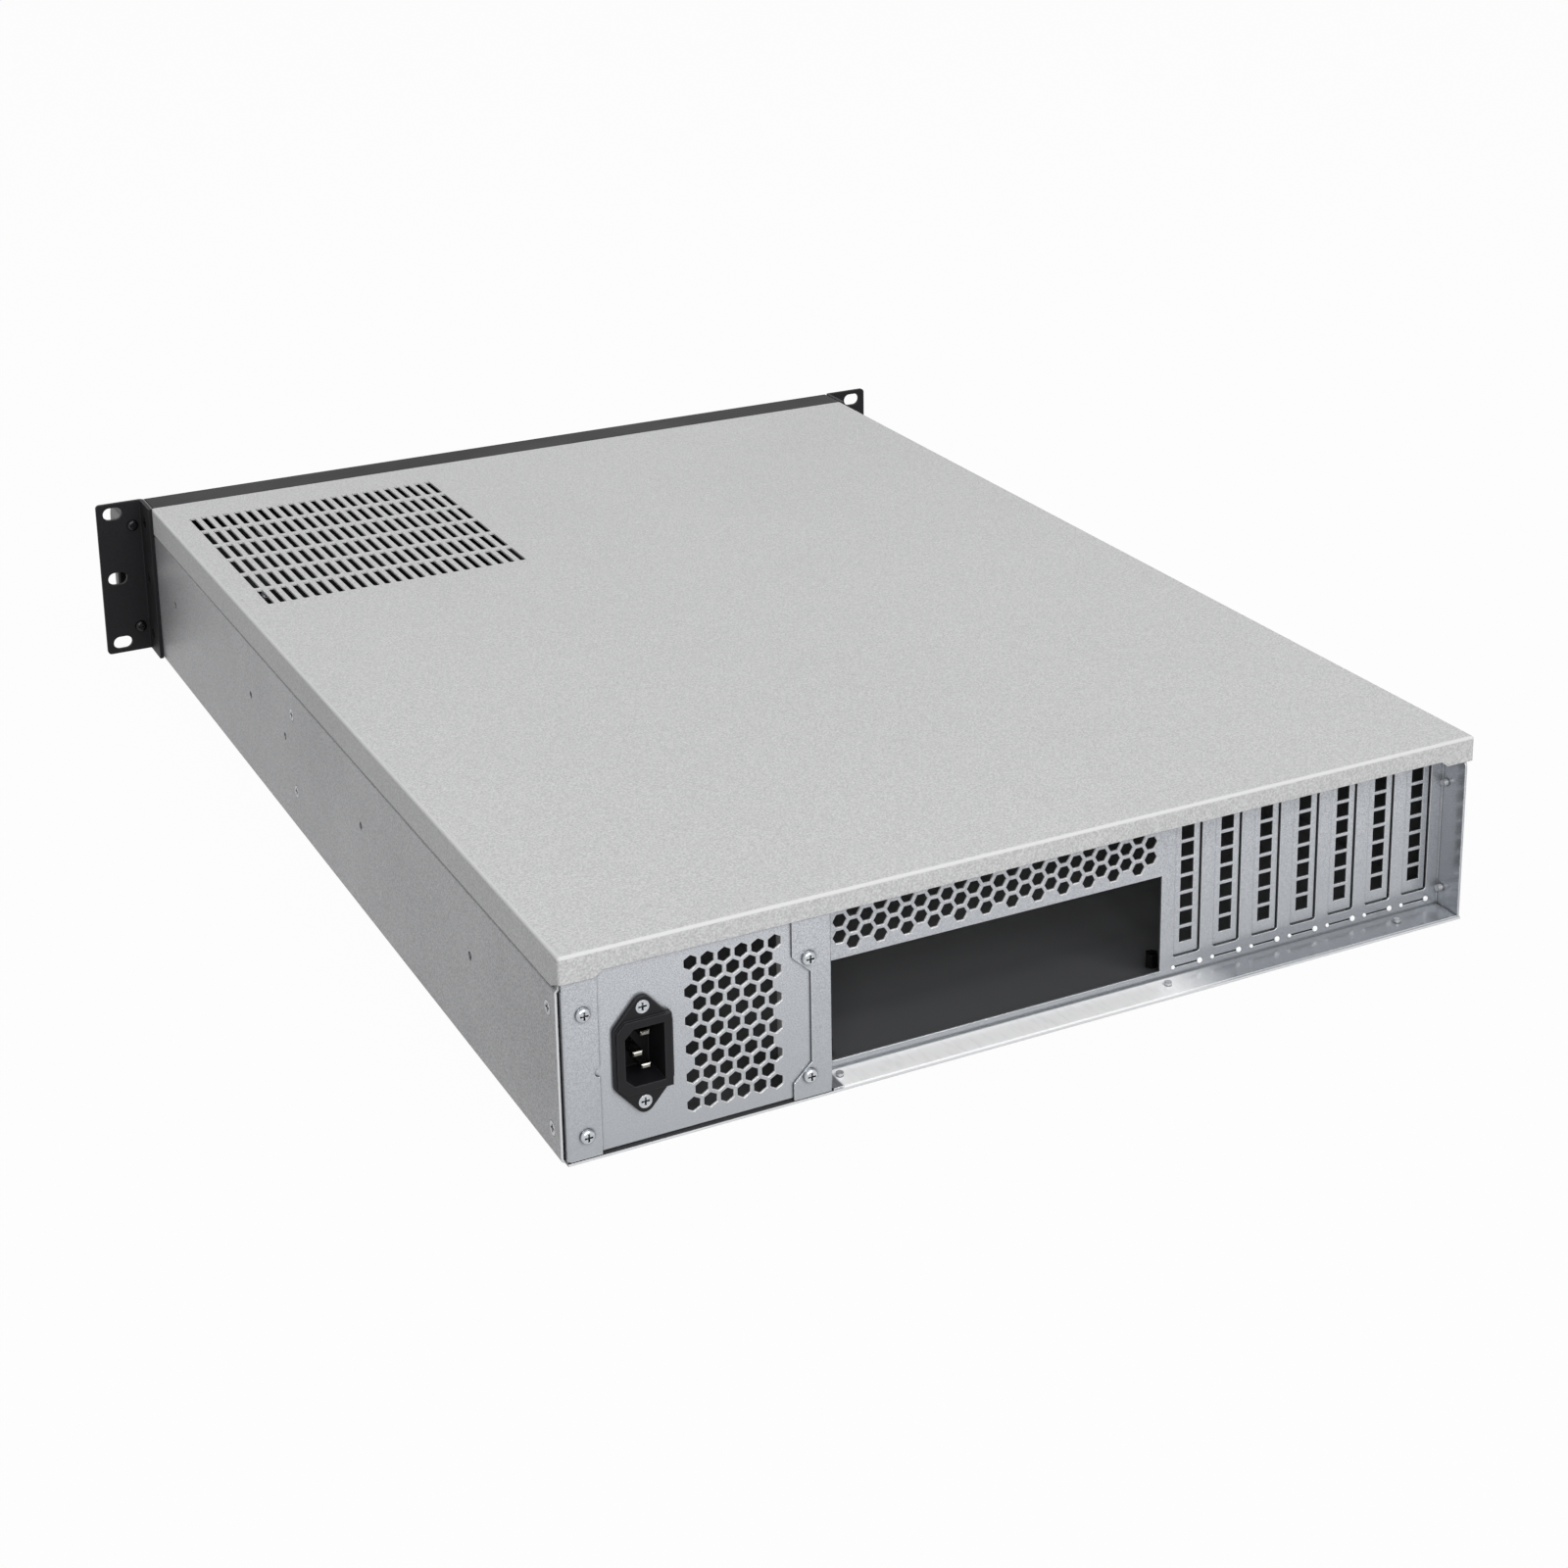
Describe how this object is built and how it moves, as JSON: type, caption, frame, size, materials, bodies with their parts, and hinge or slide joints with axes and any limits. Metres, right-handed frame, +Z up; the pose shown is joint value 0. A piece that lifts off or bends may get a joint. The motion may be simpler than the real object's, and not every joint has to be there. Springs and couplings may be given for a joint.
{
  "type": "rackmount server case",
  "caption": "Empty flat steel server case for a rack, with ears and pull handles, a sliding top cover, a power inlet and a recessed rear panel with a port opening and slot covers.",
  "frame": {"origin": "centre of the footprint, on the underside", "axes": "+Y towards the rear panel, +X towards the power inlet's side, +Z up"},
  "size_m": [0.4826, 0.656, 0.088],
  "materials": {
    "grey_coat": "matt powder coat over folded steel sheet",
    "light_coat": "fine matt powder coat over folded steel sheet",
    "galvanised": "galvanised steel sheet, satin, faint mottling",
    "black_coat": "black textured powder coat on steel",
    "black_aluminium": "black coated, satin",
    "black_plastic": "moulded, matt black",
    "plated_brass": "bright nickel plating over brass",
    "circuit_board": "green solder mask",
    "lamp_plastic": "milky clear plastic",
    "steel_screws": "bright zinc plating",
    "painted_screws": "painted with the case",
    "black_screws": "black oxide"
  },
  "bodies": {
    "chassis": {"base_pan": "grey_coat", "rear_panel": "galvanised", "inlet_plate": "galvanised", "inlet_body": "black_plastic", "inlet_pins": "plated_brass", "front_panel": "black_coat", "ear_left": "black_coat", "ear_right": "black_coat", "handle_left": "black_aluminium", "handle_right": "black_aluminium", "fan_wall": "galvanised", "supply_bracket": "galvanised", "drive_cage_1": "galvanised", "drive_cage_2": "galvanised", "control_board": "circuit_board", "board_spacers": "steel_screws", "board_screws": "steel_screws", "board_switches": "black_plastic", "indicator_lamps": "lamp_plastic", "front_sockets": "steel_screws", "standoffs": "black_screws", "inlet_screws": "steel_screws", "inlet_plate_screws": "steel_screws", "rear_side_screws": "painted_screws", "fan_wall_screws": "painted_screws", "floor_screws": "steel_screws", "ear_screws": "black_screws", "handle_screws": "black_screws", "fan_screws": "steel_screws", "slot_cover_screws": "steel_screws", "slot_cover_1": "galvanised", "slot_cover_2": "galvanised", "slot_cover_3": "galvanised", "slot_cover_4": "galvanised", "slot_cover_5": "galvanised", "slot_cover_6": "galvanised", "slot_cover_7": "galvanised", "fan_frame_1": "black_plastic", "fan_frame_2": "black_plastic", "fan_frame_3": "black_plastic", "fan_frame_4": "black_plastic"},
    "cover": {"top_cover": "light_coat"},
    "power_button": {"power_button": "black_plastic"},
    "reset_button": {"reset_button": "black_plastic"},
    "fan_rotor_1": {"fan_rotor_1": "black_plastic"},
    "fan_rotor_2": {"fan_rotor_2": "black_plastic"},
    "fan_rotor_3": {"fan_rotor_3": "black_plastic"},
    "fan_rotor_4": {"fan_rotor_4": "black_plastic"}
  },
  "joints": [
    {"name": "cover_slide", "type": "slide", "parent": "chassis", "child": "cover", "axis": [0, 1, 0], "range_m": [0, 0.02]},
    {"name": "power_button_press", "type": "slide", "parent": "chassis", "child": "power_button", "axis": [0, 1, 0], "range_m": [0, 0.0012], "stiffness_N_per_m": 400, "springref_m": -0.001},
    {"name": "reset_button_press", "type": "slide", "parent": "chassis", "child": "reset_button", "axis": [0, 1, 0], "range_m": [0, 0.0012], "stiffness_N_per_m": 400, "springref_m": -0.001},
    {"name": "fan_1_spin", "type": "hinge", "parent": "chassis", "child": "fan_rotor_1", "pos_m": [-0.129, -0.0185, 0.0421], "axis": [0, 1, 0], "continuous": true},
    {"name": "fan_2_spin", "type": "hinge", "parent": "chassis", "child": "fan_rotor_2", "pos_m": [-0.043, -0.0185, 0.0421], "axis": [0, 1, 0], "continuous": true},
    {"name": "fan_3_spin", "type": "hinge", "parent": "chassis", "child": "fan_rotor_3", "pos_m": [0.043, -0.0185, 0.0421], "axis": [0, 1, 0], "continuous": true},
    {"name": "fan_4_spin", "type": "hinge", "parent": "chassis", "child": "fan_rotor_4", "pos_m": [0.129, -0.0185, 0.0421], "axis": [0, 1, 0], "continuous": true}
  ]
}
